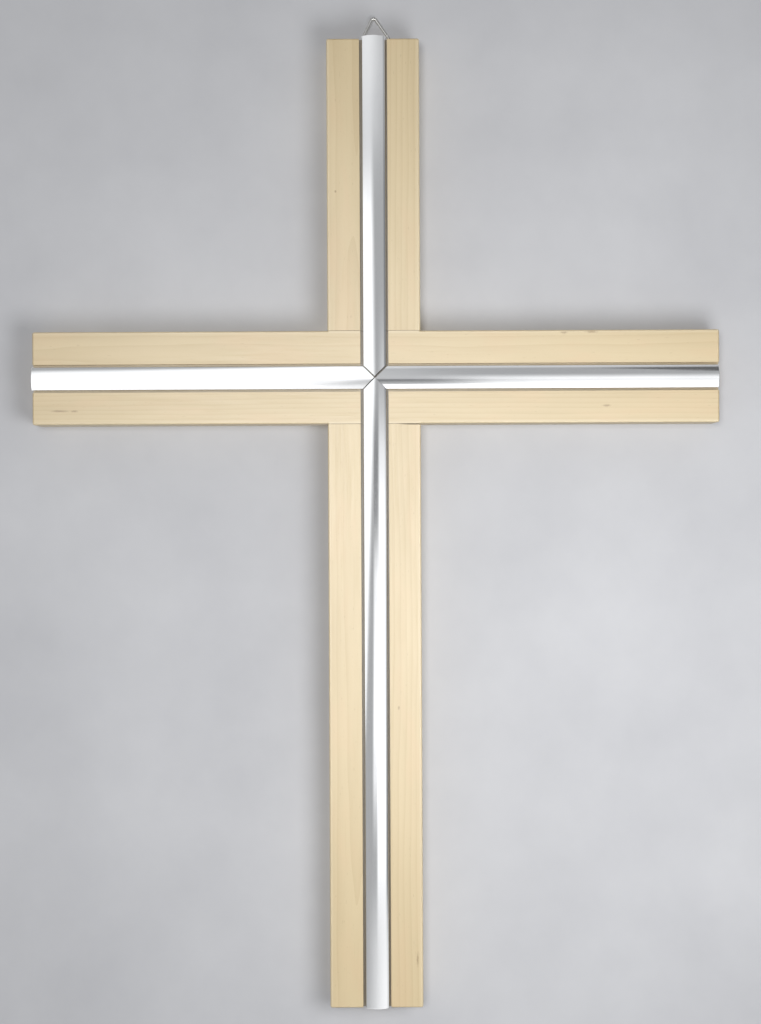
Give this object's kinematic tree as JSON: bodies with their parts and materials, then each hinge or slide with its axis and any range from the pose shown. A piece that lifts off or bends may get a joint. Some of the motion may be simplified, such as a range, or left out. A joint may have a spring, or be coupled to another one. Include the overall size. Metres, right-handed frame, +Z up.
{
  "type": "wall cross",
  "caption": "Wooden wall cross with half-lapped beams, a domed polished metal inlay in grooves along both fronts, and a wire hanging ring on a strap at the top of the back.",
  "frame": {"origin": "centre of the crossing, on the back face of the wood", "axes": "+Z up along the upright, +Y out of the back towards the wall, so the front faces -Y, and +X to the right of someone who faces the front"},
  "size_m": [0.3552, 0.0247, 0.5176],
  "materials": {
    "wood": "pale maple-like hardwood, fine straight grain, matt clear finish",
    "inlay_metal": "polished to a near mirror",
    "bonding_tape": "closed-cell double-sided foam tape",
    "hanger_steel": "nickel-plated steel"
  },
  "bodies": {
    "cross": {"upright_beam": "wood", "crossbar_beam": "wood", "inlay_strip_upper": "inlay_metal", "inlay_strip_right": "inlay_metal", "inlay_strip_lower": "inlay_metal", "inlay_strip_left": "inlay_metal", "inlay_tape_upper": "bonding_tape", "inlay_tape_right": "bonding_tape", "inlay_tape_lower": "bonding_tape", "inlay_tape_left": "bonding_tape", "hanger_strap": "hanger_steel", "hanger_screw_upper": "hanger_steel", "hanger_screw_lower": "hanger_steel"},
    "ring": {"hanger_ring": "hanger_steel"}
  },
  "joints": [
    {"name": "ring_swing", "type": "hinge", "parent": "cross", "child": "ring", "pos_m": [0.0019, 0.002, 0.1717], "axis": [-0.9969, 0, -0.0785], "range_deg": [-16, 172]}
  ]
}
